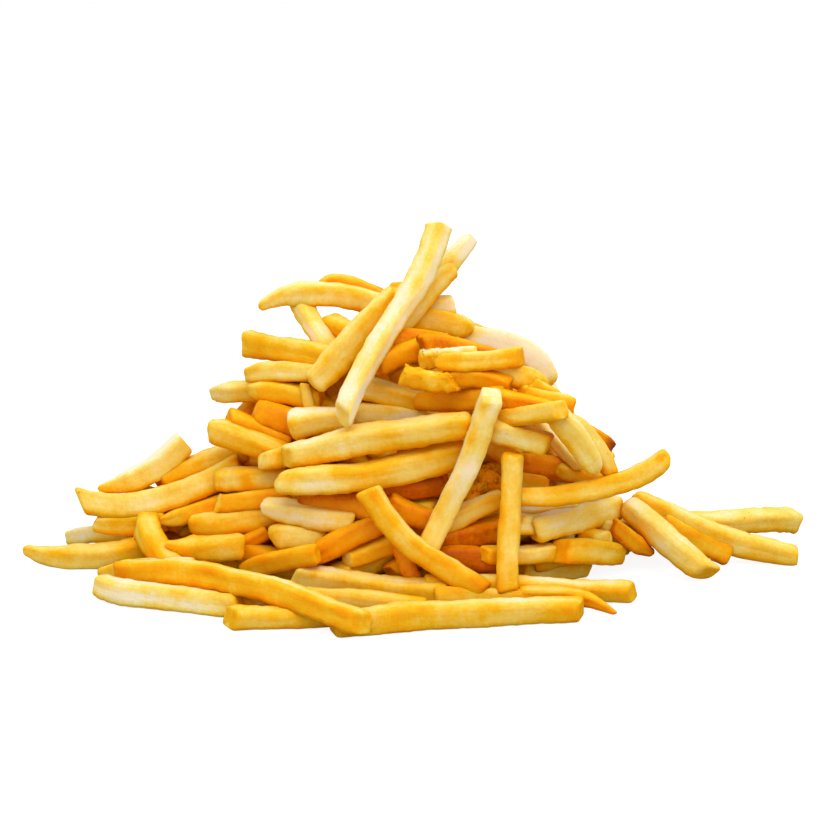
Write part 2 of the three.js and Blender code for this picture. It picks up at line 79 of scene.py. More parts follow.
# The fries that show from the front, from back to front: name, from, over, to, width as it
# shows, its two ends (s square, b square and browned, p square and pale, r round, t tapering,
# x a dark tip), tone from 0 cream to 1 dark brown, and how it leans where it doesn't just tip.
# Tones follow how dark each fry shows: the deep ones carry painted shade besides their browning,
# and a few pale ones that lie in shade carry painted light.
columns = ("name", "start", "over", "to", "width", "ends", "tone", "lean")
crown = [
    ("pale_shoulder", (14, 74.5), (34, 70.5), (44, 59), 8.6, "rr", 0.06),
    ("hump_behind", (-28.5, 88.5), (-20.5, 90.5), (-5, 83.5), 7, "rs", 0.6),
    ("crown_prop", (-37, 87.5), (-32.5, 79), (-24, 67), 7.2, "ss", 0.28),
    ("crown_wing", (-49, 84), (-30, 88.5), (-5.5, 82.5), 6.9, "ts", 0.3),
    ("crown_tab", (-3.5, 86), (6, 84), (14, 84), 6.6, "sb", 0.02),
    ("crown_stub", (-9, 78.5), (7, 78.5), (19.5, 76), 7.6, "rb", 0.44),
    ("forked_back", (19, 105), (9.5, 94), (-3, 78.5), 6.4, "rs", 0.19),
    ("forked_front", (14, 96), (3.5, 85), (-9, 70.5), 6.6, "rs", 0.33),
    ("wedge_under_wing", (-26, 78), (-18.5, 74.5), (-7.5, 69.5), 7.2, "ss", 0.56),
    ("brown_square", (-53, 71), (-40.5, 69.5), (-21, 65.5), 7.6, "ss", 0.48),
    ("hollow_a", (-10.5, 70.5), (-2.5, 72.5), (11, 70.5), 7.4, "ss", 0.84),
    ("hollow_b", (-11.5, 64), (-3, 68), (8, 71), 7.4, "ss", 0.7),
    ("under_stub", (3, 70.5), (14.5, 70.5), (32.5, 65), 6.4, "ss", 0.95),
    ("shoulder_two", (19, 64.5), (32.5, 61.5), (44, 57), 7.6, "sr", 0.38),
    ("shoulder_tip", (38.5, 58.5), (43, 56), (47, 54), 5.6, "ss", 0.5),
    ("shoulder_end", (35, 55), (44, 53), (52.5, 50.5), 6.6, "sb", 0.48),
    ("hollow_c", (10, 60), (21, 60.5), (32.5, 57.5), 6.8, "ss", 0.7),
    ("rough_bit", (2.5, 66.5), (9.5, 67.5), (21.5, 68.5), 6.6, "rs", 0.1),
    ("square_shoulder", (8, 66), (22, 66), (35.5, 67), 6.8, "rb", 0.46),
    ("rough_stub", (-3, 61.5), (6, 59), (14.5, 58.5), 6.4, "ss", 0.62),
    ("under_square", (-53, 61.5), (-43, 62.5), (-27, 61.5), 6.4, "rs", 0.28),
    ("left_flap", (-63, 55), (-55, 57), (-27, 57), 6.2, "ts", 0.2),
    ("left_ridge", (-52, 56.5), (-43.5, 56), (-28.5, 53), 6.6, "rs", 0.46),
    ("left_deep", (-50.5, 49.5), (-43, 47.5), (-28, 45), 9, "rs", 0.64),
    ("brown_corner", (-59, 47), (-51.5, 44.5), (-38.5, 39.5), 6.6, "ss", 0.66),
    ("crown_lean", (-30.5, 60), (-19, 72), (-4.5, 88.5), 8.4, "rs", 0.34),
    ("crumb_prop", (-34, 58.5), (-33, 53), (-31.5, 45.5), 4.8, "ss", 0.36),
    ("neck_a", (-19, 58.5), (-9.5, 56), (5.5, 51.5), 7.6, "ss", 0.4),
    ("neck_b", (-21, 48.5), (-8.5, 48.5), (9.5, 45), 7.2, "rs", 0.18),
    ("round_end", (-39.5, 45.5), (-32, 46.5), (-18.5, 47), 8.6, "rs", 0.2),
]

leftWing = [
    ("floor_left", (-125, 5), (-104, 2.5), (-81, 7), 8.4, "ts", 0.39),
    ("left_thin", (-110.5, 8.5), (-99.5, 10), (-83.5, 10.5), 5.2, "rs", 0.2),
    ("left_low", (-102, 14), (-93, 13.5), (-78.5, 15), 7, "rs", 0.36),
    ("left_second", (-81, 26), (-69.5, 32), (-53, 37), 7.6, "ss", 0.48),
    ("left_long", (-107, 21), (-82.5, 20.5), (-55, 32.5), 8, "ts", 0.42),
    ("left_raised", (-101, 24.5), (-87, 28.5), (-74, 38.5), 8, "tr", 0.22),
    ("left_brown", (-81.5, 14), (-72.5, 16), (-59.5, 21), 6.4, "ts", 0.6),
    ("left_broad", (-65, 43.5), (-56, 41.5), (-39.5, 34.5), 8.4, "rs", 0.54),
    ("notched", (-63.5, 27), (-54.5, 27.5), (-38.5, 28), 7.6, "rs", 0.4),
    ("short_square", (-62.5, 20.5), (-54.5, 20.5), (-39.5, 22), 5.8, "ps", 0.66),
    ("left_cream", (-85.5, 12.5), (-82, 6), (-71, -6.5), 6.8, "ss", 0.54),
    ("scoop", (-71.5, 13), (-60.5, 13.5), (-44, 16.5), 7.6, "rs", 0.42),
    ("scoop_tail", (-59, 5.5), (-53.5, 7.5), (-46, 11), 4.6, "ts", 0.63),
    ("flat_gold", (-77.5, 6.5), (-67.5, 5), (-54, 6), 8.2, "ss", 0.45),
]

# The deep ones first, their dark tones partly browning and partly painted shade of the recesses
# they lie in
heart = [
    ("deep_a", (-37, 21.5), (-24, 20.5), (-10.5, 17), 7.6, "ss", 0.94),
    ("deep_b", (-10, 27), (-0.5, 25.5), (11.5, 28), 7.6, "ss", 1.05),
    ("deep_c", (-7.5, 21.5), (0, 16.5), (11.5, 13), 7.4, "ss", 0.88),
    ("deep_d", (35, 32), (44, 31.5), (59.5, 28.5), 8, "ss", 0.98),
    ("deep_e", (8, 7), (19, 9.5), (33, 12.5), 7.4, "ss", 1.0),
    ("deep_f", (5.5, 1.5), (17.5, 2), (30, 0.5), 7.4, "ss", 1.1),
    ("deep_g", (47, 31), (54, 29), (63, 27), 5.6, "rs", 0.68),
    ("deep_h", (24, 40.5), (29.5, 36.5), (35, 33), 7.4, "ss", 0.5),
    ("crusty", (26.5, 31.5), (23, 25.5), (17.5, 19), 8, "rs", 0.74),
    ("cream_side", (8.5, 11), (17.5, 17), (30, 22), 6.6, "rs", 0.31),
    ("band_left", (3, 52.5), (15, 53.5), (31.5, 55), 7, "ss", 0.68),
    ("band_right", (24, 54.5), (36, 52.5), (49.5, 48.5), 6.2, "ss", 0.66),
]

rightWing = [
    ("red_end", (45, 48.5), (58.5, 41.5), (63.5, 38.5), 5, "sx", 0.5),
    ("fan_a", (50, 47.5), (58.5, 39.5), (65, 28.5), 7.6, "rr", 0.34),
    ("fan_b", (45.5, 50.5), (53.5, 40.5), (59.5, 29.5), 7.6, "rr", 0.2),
    ("fan_c", (41, 46.5), (47.5, 39), (54.5, 31.5), 5.6, "sr", 0.2),
    ("over_stub", (28.5, 47), (37.5, 48.5), (48.5, 50), 5.8, "ss", 0.38),
    ("pointing_stub", (23.5, 44), (34, 42), (44.5, 38.5), 7.8, "rs", 0.27),
    ("floor_shade", (35, -2.5), (47, -2), (57.5, -1.5), 5.4, "ss", 0.32),
    ("shade_band", (39.5, 0.5), (52, 3.5), (63, 6.5), 6.8, "ss", 0.6),
    ("tuck_a", (23.5, 3), (36, 3.5), (46, 4.5), 6, "sb", 0.32),
    ("tuck_b", (33, 14), (42.5, 13.5), (51.5, 10.5), 6.2, "sr", 0.2),
    ("tuck_c", (32.5, 18), (42.5, 18.5), (54, 19.5), 5, "ss", 0.2),
    ("low_curl", (48, 4.5), (59.5, 4), (68, 4), 7.4, "sr", 0.5),
    ("low_cap", (59.5, 11.5), (65, 11), (69.5, 7.5), 6.6, "rr", 0.2),
    ("end_on", (54, 10.5), (58.5, 9), (62.5, 8), 5.8, "sp", 0.56),
    ("cream_broad", (39, 11), (56, 16), (66, 18.5), 7.8, "ss", 0.24),
    ("right_flat", (72, 13.5), (107.5, 14), (124, 15), 7.8, "sb", 0.34),
    ("right_long", (71.5, 22.5), (95, 11.5), (124.5, 3), 7.2, "rb", 0.34),
    ("right_gold", (80.5, 14), (92.5, 7.5), (102, 3), 7.4, "sb", 0.56),
    ("dark_heel", (65, 12.5), (72, 7.5), (78.5, 4), 5.4, "st", 0.78),
    ("right_cream", (69.5, 20.5), (81.5, 9.5), (95.5, -2.5), 8.2, "rs", 0.34),
    ("right_tusk", (83, 36), (63, 26), (33, 22.5), 6.6, "ts", 0.45),
]

face = [
    ("lower_bar", (-43.5, 26.5), (-14, 29), (17, 37), 8.4, "rs", 0.4),
    ("upper_bar_back", (-48.5, 33), (-39.5, 35), (-21.5, 38), 7.2, "rs", 0.31),
    ("upper_bar", (-40.5, 34.5), (-11.5, 41), (19.5, 45.5), 8.8, "sr", 0.34),
    ("crown_mast", (9.5, 109.5), (-6, 78.5), (-22.5, 45.5), 7.9, "ss", 0.16, -0.3),
    ("low_gold", (-45.5, 9), (-37.5, 9), (-28, 8), 7, "rs", 0.2),
    ("thick_gold", (-48, 19), (-34, 16), (-18.5, 14), 8, "rs", 0.2),
    ("pair_back", (-32, 3), (-21, 8.5), (-7.5, 14), 7, "rs", 0.86),
    ("pair_front", (-21, 2), (-12.5, 4.5), (-1, 8.5), 6.6, "ps", 0.53),
    ("brown_peg", (-5.5, 10), (-2.5, 2.5), (1.5, -5), 5.4, "ss", 0.7),
    ("diagonal", (26.5, 55), (17, 30), (3.5, 1.5), 7.6, "ss", 0.17),
]

# On the table, in front
table = [
    ("shade_bar", (-53, -2.5), (-43.5, 1), (-30, 3.5), 6.4, "ss", 0.62),
    ("back_cheek", (-100, -3.5), (-88, -0.5), (-70.5, -0.5), 5.2, "ss", 0.36),
    ("floor_pale", (-101, -5), (-82.5, -9.5), (-54, -12.5), 7.4, "rs", 0.27),
    ("floor_block", (-58.5, -17), (-42.5, -16.5), (-20.5, -15), 7.6, "ss", 0.48),
    ("floor_tail", (71.5, -8.5), (38.5, -7), (4, -5), 6.6, "ss", 0.39),
    ("floor_spur", (35, -8.5), (52.5, -9.5), (66, -15), 5.2, "st", 0.68),
    ("floor_bar", (-25.5, -20), (14.5, -16), (55, -15), 7.7, "sb", 0.43),
    ("floor_cross", (-88.5, -2), (-53, -6), (-16, -19), 7.6, "ss", 0.5),
    ("floor_ridge", (-37, -2.5), (-13, -7.5), (13, -9.5), 6.8, "ss", 0.33),
    ("crossing", (-14, 24.5), (0.5, 6.5), (24, -8.5), 7.6, "sb", 0.48),
    ("upright", (33, 36), (31.5, 13), (31.5, -9.5), 7.2, "sb", 0.42),
]


def unit(vectors):
    return vectors / np.linalg.norm(vectors, axis=-1, keepdims=True)


class Eye:
    def __init__(self, azimuth, pitch, distance, foot, axis=(0, 0), back=None):
        turn, fall = math.radians(azimuth), math.radians(pitch)
        level = np.array((-math.sin(turn), math.cos(turn), 0))
        upward = np.array((0, 0, 1))
        self.right = np.array((math.cos(turn), math.sin(turn), 0))
        self.forward = level * math.cos(fall) - upward * math.sin(fall)
        self.up = level * math.sin(fall) + upward * math.cos(fall)
        self.distance, self.foot, self.axis, self.back = distance, np.array(foot, float), axis, back

    def place(self, spots, depth):  # the points seen at the spots, deeper than the plane by depth
        across, up = spots[..., 0], spots[..., 1]
        grow = depth / self.distance
        return (self.foot + (across + grow * (across - self.axis[0]))[..., None] * self.right
                + (up + grow * (up - self.axis[1]))[..., None] * self.up
                + np.asarray(depth)[..., None] * self.forward)

    def sight(self, spots):  # each spot's line of sight: its start on the plane and way per depth
        start = self.place(spots, np.zeros(spots.shape[:-1]))
        return start, self.place(spots, np.ones(spots.shape[:-1])) - start

    def look(self, middles, radii):  # where balls show: spots, depths and radii as they show
        away = middles - self.foot
        depth = away @ self.forward
        shrink = 1 / (1 + depth / self.distance)
        spots = np.stack((self.axis[0] + (away @ self.right - self.axis[0]) * shrink,
                          self.axis[1] + (away @ self.up - self.axis[1]) * shrink), -1)
        return spots, depth, radii * shrink


front = Eye(**frontView)


def bend(fry, share):
    share = np.asarray(share, float)[..., None]
    start, over, to = (np.array(fry[key], float) for key in ("start", "over", "to"))
    return ((1 - share) * (1 - 2 * share) * start + 4 * share * (1 - share) * over
            + share * (2 * share - 1) * to)


def spanOf(fry):
    return math.dist(fry["start"], fry["to"])


def stepsAlong(fry):
    steps = max(3, math.floor(spanOf(fry) / laying["ballStep"] + 0.5))
    return np.arange(steps + 1) / steps


def girth(fry, share):
    share = np.asarray(share, float)
    ends = [girths.get(end, girths["s"]) for end in fry["ends"]]
    least, over = (np.where(share < 0.5, *pair) for pair in zip(*ends))
    return least + (1 - least) * np.minimum(1, np.minimum(share, 1 - share) / over)


def firstTouch(a, b, c):
    inside = b * b - a * c
    return np.where(inside > 0, (-b - np.sqrt(np.maximum(inside, 0))) / a, np.inf)


def reachMound(start, ray, more):
    deepest = np.full(start.shape[:-1], np.inf)
    for middle, half in mound.values():
        scale = 1 / (np.array(half, float) + np.asarray(more, float)[..., None])
        offset = (start - np.array((*middle, 0))) * scale
        way = ray * scale
        square, slope, past = (
            (a * b).sum(-1) for a, b in ((way, way), (way, offset), (offset, offset)))
        deepest = np.minimum(deepest, firstTouch(square, slope, past - 1))
    return deepest


class Balls:  # all balls laid so far
    def __init__(self):
        self.middles, self.radii = np.zeros((0, 3)), np.zeros(0)

    def add(self, middles, radii):
        self.middles = np.concatenate((self.middles, middles))
        self.radii = np.concatenate((self.radii, radii))

    def near(self, eye, fry):  # those that show close to a fry's line, which alone can stop it
        spots = eye.look(self.middles, self.radii)[0] - fry["start"]
        line = (np.array(fry["to"]) - fry["start"]) / spanOf(fry)
        across = np.array((-line[1], line[0]))
        margin = laying["margin"] + abs((np.array(fry["over"]) - fry["start"]) @ across)
        along, off = spots @ line, spots @ across
        keep = (along > -margin) & (along < spanOf(fry) + margin) & (np.abs(off) < margin)
        return self.middles[keep], self.radii[keep]


def reach(eye, spots, radii, middles, ballRadii):
    start, ray = eye.sight(spots)
    swell = radii / eye.distance
    onTable = (start[:, 2] - radii) / (swell - ray[:, 2])
    deepest = np.minimum(onTable, reachMound(start, ray, radii - sink))
    if eye.back is not None:
        deepest = np.minimum(deepest, (eye.back - start[:, 1]) / ray[:, 1])
    away = start[:, None] - middles
    together = radii[:, None] + ballRadii
    slant = (ray * ray).sum(-1) - swell * swell
    near = np.einsum("ij,ikj->ik", ray, away) - together * swell[:, None]
    square = (away * away).sum(-1) - together * together
    onBalls = firstTouch(slant[:, None], near, square)
    return np.minimum(deepest, onBalls.min(1, initial=np.inf))


class Cover:  # the middle lines of fries on the picture plane, to find what lies behind them
    def __init__(self, fries):
        lines = [bend(fry, stepsAlong(fry)) for fry in fries]
        self.spots = np.concatenate(lines)
        self.number = np.repeat(np.arange(len(fries)), [len(line) for line in lines])
        self.near = np.array([fry["width"] for fry in fries])[self.number] * laying["coverShare"]

    def hides(self, spots, after=-1):
        later = self.number > after
        away = spots[..., None, :] - self.spots[later]
        return (np.hypot(away[..., 0], away[..., 1]) < self.near[later]).any(-1)


def settle(eye, fry, balls, covered=lambda spots: False):
    span, shares = spanOf(fry), stepsAlong(fry)
    spots = bend(fry, shares)
    radii = fry["width"] * laying["ballShare"] * girth(fry, shares)
    slim = np.where(covered(spots), radii * laying["buriedShare"], radii)
    limits = reach(eye, spots, slim, *balls.near(eye, fry))
    steps = laying["leanSteps"]
    leans = laying["steepest"] * np.arange(-steps, steps + 1) / steps
    if "lean" in fry:
        leans = np.array([fry["lean"]])
    depths = (limits - leans[:, None] * (shares - 0.5) * span).min(1)
    best = np.argmax(depths - laying["balance"] * np.abs(leans) * span / 2)
    lean, depth = leans[best], depths[best]

    def depthAt(share):
        return depth + lean * (np.asarray(share, float) - 0.5) * span

    middles = eye.place(spots, depthAt(shares))
    swollen = radii * (1 + depthAt(shares) / eye.distance)
    return dict(fry, eye=eye, at=lambda share: eye.place(bend(fry, share), depthAt(share)),
                middles=middles, radii=swollen, swell=1 + depth / eye.distance)


class Draws:  # seeded draws between two values, the same ones that lay the solid heap
    factor, most = 16807, 2147483647

    def __init__(self, seed):
        self.seed = seed

    def __call__(self, low, high):
        self.seed = self.seed * self.factor % self.most
        return low + (high - low) * self.seed / self.most


def anyFry(layer, number, draw):
    lobes = list(mound.values())
    middle, half = lobes[max(0, math.floor(draw(-anyFries["peakMore"], len(lobes))))]
    turn = math.radians(draw(*layer["facing"]))
    rise = draw(*layer["rise"])
    level = math.sqrt(1 - rise * rise)
    out = np.array((math.cos(turn) * level, math.sin(turn) * level, rise))
    square = out / half
    azimuth = math.degrees(math.atan2(square[0], -square[1]))
    steep = math.degrees(math.atan2(square[2], math.hypot(square[0], square[1])))
    pitch = np.clip(steep, *anyFries["pitch"])
    eye = Eye(azimuth, pitch, anyFries["distance"], out * half + (*middle, 0))
    slant = math.radians(layer["slant"]) * draw(-1, 1)
    reachOut = draw(*layer["length"]) / 2
    bow = anyFries["bow"] * draw(-1, 1)
    width = draw(*anyFries["width"])
    along = np.array((math.cos(slant), math.sin(slant)))
    off = np.array((-math.sin(slant), math.cos(slant)))
    return eye, dict(start=-reachOut * along, over=bow * off, to=reachOut * along, width=width,
                     ends=anyFries["ends"][number % len(anyFries["ends"])])


def isNear(middles, off):
    scaled = [(middles - (*middle, 0)) / (np.array(half) + off) for middle, half in mound.values()]
    return (np.linalg.norm(scaled, axis=2) < 1).any(0)


def layLayer(layer, balls, test, draw):
    laid = []
    tries = 0
    while tries < layer["tries"] and len(laid) < layer["fries"]:
        eye, fry = anyFry(layer, tries, draw)
        rested = settle(eye, fry, balls)
        if isNear(rested["middles"], layer["off"]).all() and holdsRound(rested, test):
            balls.add(rested["middles"], rested["radii"])
            laid.append(rested)
        tries += 1
    return laid


def holdsRound(rested, test):  # from the front, at the fry's middle line and at its full width
    spots, depth, radii = front.look(rested["middles"], rested["radii"])
    off = radii[:, None] / laying["ballShare"] / 2
    ways = ((0, 0), (1, 0), (-1, 0), (0, 1), (0, -1))
    return all(test(spots + off * way, depth).all() for way in ways)


def layHeap():
    balls, draw = Balls(), Draws(seeds["laying"])
    shown = [dict(zip(columns, row)) for row in crown + leftWing + heart + rightWing + face + table]
    cover = Cover(shown)
    first = layLayer(firstLayer, balls, lambda spots, depth: (
        np.isfinite(reachMound(*front.sight(spots), 0)) | cover.hides(spots)), draw)
    rested = []
    for number, fry in enumerate(shown):
        rested.append(settle(front, fry, balls, lambda spots: cover.hides(spots, number)))
        balls.add(rested[-1]["middles"], rested[-1]["radii"])
    seen = [front.look(fry["middles"], fry["radii"]) for fry in rested]
    spotsSeen, depthSeen, radiiSeen = (np.concatenate(part) for part in zip(*seen))

    def isBehind(spots, depth):
        away = spots[:, None] - spotsSeen
        hidden = np.hypot(away[..., 0], away[..., 1]) < radiiSeen / laying["ballShare"] / 2
        hidden &= depthSeen < depth[:, None]
        return hidden.any(1) | (reachMound(*front.sight(spots), 0) < depth)

    last = layLayer(lastLayer, balls, isBehind, draw)
    last += layLayer(shortLayer, balls, isBehind, draw)
    return first, rested, last


print("laying the heap")
buriedFries, shownFries, farFries = layHeap()
print("laid", len(buriedFries), len(shownFries), len(farFries))

# unevenness is given as shares of the half width and, for waves, as their size and lengths in mm
fryForm = {
    "around": 24,  # points round a fry
    "step": 1.5,  # mm between its rings
    "points": 33,  # on the line that it follows
    "aside": 0.02,  # share of the fry to both sides that gives its direction at a place
    "fat": 1.08,
    "roll": math.radians(12),
    "rollStep": 0.61803398875,  # from fry to fry, so that none is rolled like its neighbours
    "upright": 0.8,  # from this steepness on, its top faces the viewer and not the sky
    "twist": math.radians(13),
    "square": (3.6, 7.5),  # how square the section is: 2 would be round
    "facePower": 6,  # how narrow the middles of faces are, and the edges
    "edgePower": 9,
    "squeezed": (0.93, 1.07),  # width against height
    "sunken": (-0.02, 0.07),  # in the middle of a face
    "swollen": (0.08, 38, 19),  # each face
    "nicked": (0.045, 11, 5.5),  # each edge
    "bulging": (0.06, 60, 33),
    "tapered": 0.11,  # from the middle to an end
    "rough": (0.014, 2.5, 7, 9),  # the last number is how many waves
    "wander": (0.4, 64, 33),  # mm off its even bend
    "fullEnds": 0.07,  # how much fuller an end is than it was laid
    "cut": 0.12,
    "cutOver": 1.3,  # thicknesses from an end that its slanted cut shifts
}
buriedForm = dict(fryForm, around=14, step=3)
browning = {  # how far the tone moves
    "faces": 0.10,
    "middles": 0.09,  # of faces
    "edges": 0.20,
    "edgeLeast": 0.1,
    "edgePatches": (0.6, 23, 11),
    "along": (0.09, 45, 21),
    "ends": 0.19,  # from one end to the other
    "lifted": 0.05,
    "dark": 0.2,  # share taken off above the middle tone, which the shade makes up for
    "middle": 0.5,
    "most": 0.89,
}
# degrees round the edge of an end, and how far out and how wide the rings of its cap are
endRings = {"edge": (0, 25, 50, 70, 90), "capOut": (1, 0.85, 0.5), "capWide": (0.02, 0.4, 0.75)}
skinOver = 1.3  # how soon the skin's browning starts, as a cut face has no edges of its own
grainApart = 500  # mm, so that no two fries have the same grain
# an end's rounding: how far it runs and how much is left at its face, and its browning
endForms = {
    "s": dict(run=0.22, left=0.74, cap=-0.03, slanted=0.36, brown=0.12, over=2.6),
    "b": dict(run=0.22, left=0.74, cap=-0.03, slanted=0.26, brown=0.24, over=3.4),
    "p": dict(run=0.16, left=0.80, cap=0.02, slanted=0.20, brown=-0.16, over=1.2),
    "r": dict(run=0.50, left=0.45, cap=0.10, slanted=0.25, brown=0.08, over=3.5),
    "t": dict(run=0.60, left=0.40, cap=0.12, slanted=0.20, brown=0.18, over=6.0),
    "x": dict(run=0.25, left=0.70, cap=-0.05, slanted=0.20, brown=0.80, over=5.0),
}


def cut(toFront=0, across=0):  # an end cut at a slant, as far as it turns to the front and aside
    return toFront, across


# what single fries have of their own: how fat and rough, taper to their far end, kinds of ends,
# share stretched past their ends, cuts, mm moved, mm bowed to both sides, and marks (how far
# along, how far aside, mm across, tone)
looks = {
    "crown_mast": dict(fat=1.04, taper=-0.07, stretch=(0, -0.03), bow=-1.3,
                       cuts=(cut(0, 0.5), cut(0.1, -0.75))),
    "forked_back": dict(stretch=(0.05, 0)),
    "crown_stub": dict(ends="rr", fat=1.04),
    "crown_lean": dict(taper=-0.30, stretch=(0.08, 0)),
    "crown_wing": dict(fat=1.14, move=(0, 0, -1)),
    "left_flap": dict(fat=1.14, move=(0, 0, -0.7)),
    "left_broad": dict(stretch=(0.05, 0)),
    "hump_behind": dict(fat=0.88),
    "pale_shoulder": dict(fat=0.94, move=(0.8, 0, -1)),
    "crumb_prop": dict(fat=0.7),
    "round_end": dict(fat=1.08, taper=-0.12),
    "brown_square": dict(fat=1.06, cuts=(cut(0.2, 0.15), cut())),
    "square_shoulder": dict(cuts=(cut(), cut(0.4))),
    "rough_bit": dict(rough=7, marks=[(0.1, 0.3, 3.5, 0.35)]),
    "rough_stub": dict(rough=7, marks=[(0.5, -0.6, 3, -0.3)]),
    "left_raised": dict(fat=0.94, ends="ts", taper=0.08, stretch=(0, 0.04), move=(0, 0, 0.3),
                        cuts=(cut(), cut(0, -0.2))),
    "left_long": dict(ends="ss", taper=-0.02, cuts=(cut(0, 0.6), cut())),
    "left_cream": dict(fat=1.36, taper=-0.06, cuts=(cut(0.2, 0.6), cut())),
    "flat_gold": dict(ends="ts", stretch=(0.1, 0)),
    "short_square": dict(cuts=(cut(0.6), cut())),
    "notched": dict(marks=[(0.55, 0, 2.0, 0.5)]),
    "upper_bar": dict(fat=1.08, taper=0.05, cuts=(cut(0.7), cut())),
    "lower_bar": dict(fat=1.1, taper=0),
    "diagonal": dict(fat=0.94, taper=0, cuts=(cut(0.3, 0.2), cut())),
    "low_gold": dict(cuts=(cut(0.3), cut())),
    "pair_front": dict(cuts=(cut(0.5), cut())),
    "crusty": dict(rough=7, fat=1.2, move=(0.5, -2, 0), marks=[(0.5, 0, 5, 0.15)]),
    "pointing_stub": dict(cuts=(cut(0.4), cut())),
    "cream_broad": dict(fat=1.08),
    "end_on": dict(cuts=(cut(), cut(0.8))),
    "fan_a": dict(fat=0.86),
    "red_end": dict(marks=[(0.97, 0, 4, 0.4)]),
    "fan_c": dict(move=(0, -2, 0.5)),
    "tuck_c": dict(move=(0, -3.5, 0)),
    "tuck_b": dict(move=(0, -3, 0)),
    "right_tusk": dict(ends="rs", fat=1.04, move=(0, 0, -0.7)),
    "right_flat": dict(stretch=(0, -0.04), cuts=(cut(), cut(0.3))),
    "right_long": dict(fat=1.14, move=(0, -1, -0.5)),
    "right_cream": dict(fat=1.06, move=(-0.4, -1.5, 0)),
    "upright": dict(fat=0.92, taper=0.08, cuts=(cut(), cut(0.3))),
    "floor_pale": dict(fat=1.16, taper=0, move=(0, -2.5, 0)),
    "floor_block": dict(fat=1.1, move=(0, -2, 0), cuts=(cut(0.5), cut())),
    "floor_bar": dict(fat=1.14, taper=-0.03, cuts=(cut(), cut(0.3, 0.1))),
    "floor_cross": dict(fat=1.08, stretch=(0.08, 0), taper=-0.06, cuts=(cut(), cut(0.5, 0.2))),
    "floor_ridge": dict(fat=1.25),
    "floor_tail": dict(fat=1.1, move=(0, -2, 0)),
    "floor_spur": dict(move=(0, -2, 0)),
}

waveStretch = (0.8, 1.25)
rippleTurns = 6  # round a fry


def waves(chance, along, kind, count=1):  # smooth random lines along a fry
    size, *lengths = kind
    total = np.zeros((count, len(along)))
    for length in lengths:
        stretched = along / (length * chance.uniform(*waveStretch, (count, 1)))
        total += np.sin(2 * math.pi * (stretched + chance.uniform(0, 1, (count, 1))))
    return size * (total / len(lengths))


def ripples(chance, along, turn, shortest, longest, count):  # small bumps all over a fry
    total = np.zeros((len(along), len(turn)))
    for _ in range(count):
        length = chance.uniform(shortest, longest)
        around = chance.integers(-rippleTurns, rippleTurns + 1)
        total += np.sin(2 * math.pi * (along[:, None] / length + chance.uniform()) + around * turn)
    return total / math.sqrt(count)


def fullness(ends, share):  # like girth, but a cut end keeps its full thickness
    return np.minimum(1, girth(dict(ends=ends), np.clip(share, 0, 1)) + fryForm["fullEnds"])


def ringsOf(ends, thick, length, step):  # each ring's distance from the start, and its size
    distances, sizes = [], []
    edge = np.radians(endRings["edge"])
    for end in (0, 1):
        endForm = endForms[ends[end]]
        run = endForm["run"] * thick * fullness(ends, end)
        inward = run * (1 - np.cos(edge))
        size = endForm["left"] + (1 - endForm["left"]) * np.sin(edge)
        capOut = endForm["cap"] * thick * fullness(ends, end)
        distances.append(np.concatenate((-capOut * np.array(endRings["capOut"]), inward)))
        sizes.append(np.concatenate((endForm["left"] * np.array(endRings["capWide"]), size)))
    first, last = distances[0][-1], length - distances[1][-1]
    between = np.linspace(first, last, max(3, round((last - first) / step)) + 1)[1:-1]
    return (np.concatenate((distances[0], between, length - distances[1][::-1])),
            np.concatenate((sizes[0], np.ones(len(between)), sizes[1][::-1])))


